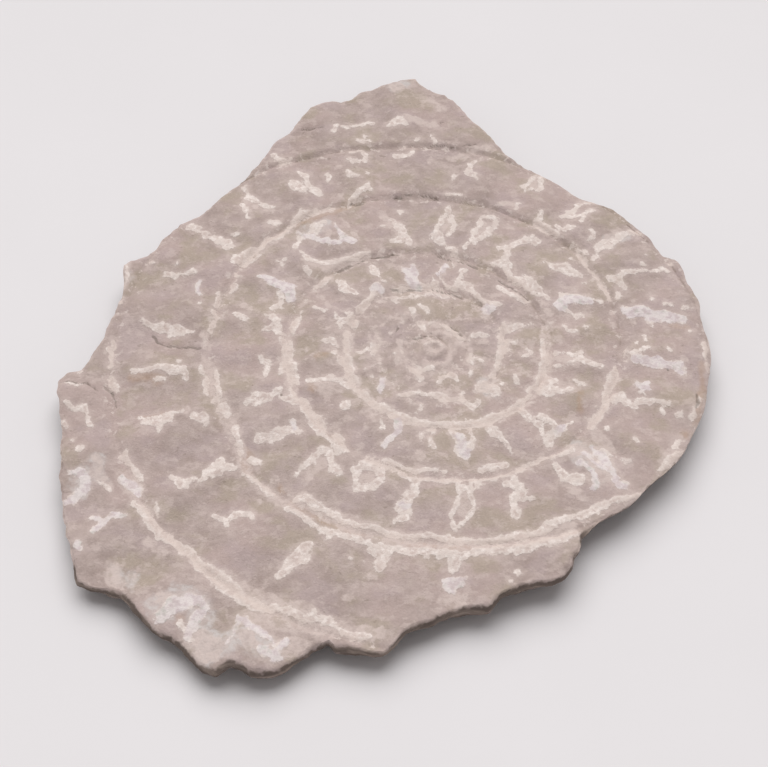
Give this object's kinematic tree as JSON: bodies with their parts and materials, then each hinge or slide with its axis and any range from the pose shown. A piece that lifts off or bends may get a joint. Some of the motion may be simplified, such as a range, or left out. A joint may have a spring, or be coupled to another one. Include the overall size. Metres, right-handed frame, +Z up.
{
  "type": "ammonite fossil",
  "caption": "Flattened ammonite fossil: a thin, broken piece of stone with the pressed spiral of ribbed whorls on its upper face, lying flat.",
  "frame": {"origin": "on the flat underside, straight below the centre of the spiral", "axes": "+Z up, out of the ribbed face; +Y towards the tall hump of the outline, along the longest side; +X towards the round rim"},
  "size_m": [0.0993, 0.1205, 0.0052],
  "materials": {
    "fossil_stone": null
  },
  "bodies": {
    "root": {"ammonite_fossil": "fossil_stone"}
  },
  "joints": []
}
